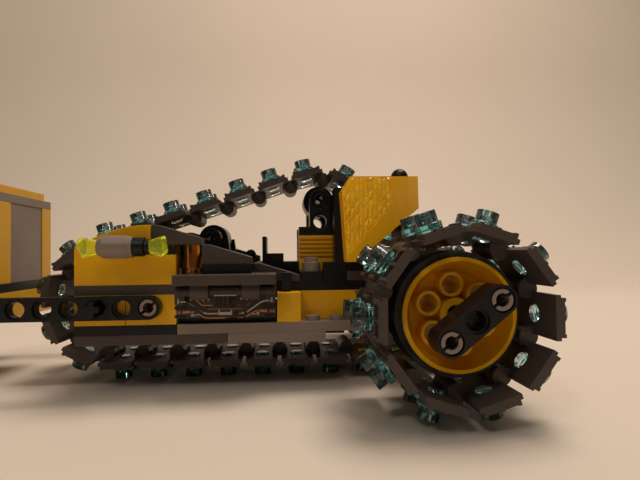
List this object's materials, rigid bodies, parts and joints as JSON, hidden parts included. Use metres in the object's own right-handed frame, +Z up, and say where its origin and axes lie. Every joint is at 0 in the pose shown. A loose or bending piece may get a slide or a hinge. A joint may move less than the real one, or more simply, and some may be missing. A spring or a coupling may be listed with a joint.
{
  "type": "tracked harvester toy with bin",
  "caption": "Brick-built tracked harvester with a studded conveyor belt, two wide tread wheels at the front, a belt tower and a tipping bin on arms behind.",
  "frame": {"origin": "centre of the bounding box's base, on the ground under the belt", "axes": "+X towards the tread wheels (front), +Y to the far side, +Z up; the hull is mirror-symmetric about the XZ plane"},
  "size_m": [0.2211, 0.1704, 0.0808],
  "materials": {
    "dark_grey": "moulded, satin gloss",
    "light_grey": "moulded, satin gloss",
    "black": "moulded, satin gloss",
    "yellow": "moulded, glossy",
    "rubber": "matt",
    "clear_blue": "clear tinted plastic",
    "clear_amber": "clear tinted plastic",
    "clear_green": "clear tinted plastic",
    "panel_print": "moulded, with a printed circuit-like pattern"
  },
  "bodies": {
    "hull": {"base_plates_dark": "dark_grey", "base_plates_light": "light_grey", "spacer_plates": "black", "running_boards": "light_grey", "axle_bricks": "yellow", "inner_walls": "yellow", "deck_plates": "dark_grey", "upper_bricks": "yellow", "curved_fairings": "yellow", "cab_slopes": "dark_grey", "cab_side_bricks": "black", "amber_lamps": "clear_amber", "panel_canopies": "dark_grey", "panel_sills": "black", "front_side_bricks": "yellow", "black_side_bricks": "black", "round_caps": "light_grey", "floor_plates": "black", "cab_deck": "black", "cab_bricks": "black", "ribbed_bricks": "yellow", "idler_brackets": "black", "rear_idler_brackets": "black", "idler_pins": "black", "seat": "black", "shield_posts": "black", "shields": "yellow", "shield_knobs": "black", "lamp_bodies": "light_grey", "lamp_sockets": "black", "lamp_crystals": "clear_green", "arms": "black", "arm_pins": "light_grey", "belt_links": "dark_grey", "belt_caps": "clear_blue"},
    "side_panel_near": {"side_panel_near": "panel_print"},
    "side_panel_far": {"side_panel_far": "panel_print"},
    "control_lever": {"control_lever": "black"},
    "rear_wheel": {"rear_axle": "black", "rear_rim": "yellow", "rear_drive_ring": "rubber", "rear_bushes": "light_grey"},
    "top_idler": {"top_idler": "black"},
    "rear_idler": {"rear_idler": "black"},
    "front_wheels": {"front_axle": "black", "centre_rim": "yellow", "side_rims": "yellow", "drive_rings": "rubber", "wheel_links": "dark_grey", "wheel_caps": "clear_blue", "wheel_beams": "black", "wheel_pins": "light_grey", "front_bushes": "light_grey"},
    "bin": {"bin_floor": "black", "bin_front_brick": "yellow", "bin_posts": "yellow", "bin_panels": "light_grey", "bin_rim": "light_grey", "bin_top": "yellow", "bin_tilt_bricks": "black"}
  },
  "joints": [
    {"name": "panel_near_swing", "type": "hinge", "parent": "hull", "child": "side_panel_near", "pos_m": [0.01645, -0.0394, 0.03315], "axis": [-1, 0, 0], "range_deg": [0, 80]},
    {"name": "panel_far_swing", "type": "hinge", "parent": "hull", "child": "side_panel_far", "pos_m": [0.01645, 0.0394, 0.03315], "axis": [1, 0, 0], "range_deg": [0, 80]},
    {"name": "lever_tilt", "type": "hinge", "parent": "hull", "child": "control_lever", "pos_m": [0.02205, 0, 0.03935], "axis": [0, 1, 0], "range_deg": [-25, 25]},
    {"name": "rear_wheel_spin", "type": "hinge", "parent": "hull", "child": "rear_wheel", "pos_m": [-0.02355, 0, 0.02835], "axis": [0, 1, 0], "continuous": true},
    {"name": "top_idler_spin", "type": "hinge", "parent": "hull", "child": "top_idler", "pos_m": [0.04845, 0, 0.06455], "axis": [0, 1, 0], "continuous": true},
    {"name": "rear_idler_spin", "type": "hinge", "parent": "hull", "child": "rear_idler", "pos_m": [0.00845, 0, 0.05055], "axis": [0, 1, 0], "continuous": true},
    {"name": "front_wheels_spin", "type": "hinge", "parent": "hull", "child": "front_wheels", "pos_m": [0.08045, 0, 0.02835], "axis": [0, 1, 0], "continuous": true},
    {"name": "bin_tip", "type": "hinge", "parent": "hull", "child": "bin", "pos_m": [-0.08755, 0, 0.02835], "axis": [0, -1, 0], "range_deg": [0, 50]}
  ]
}
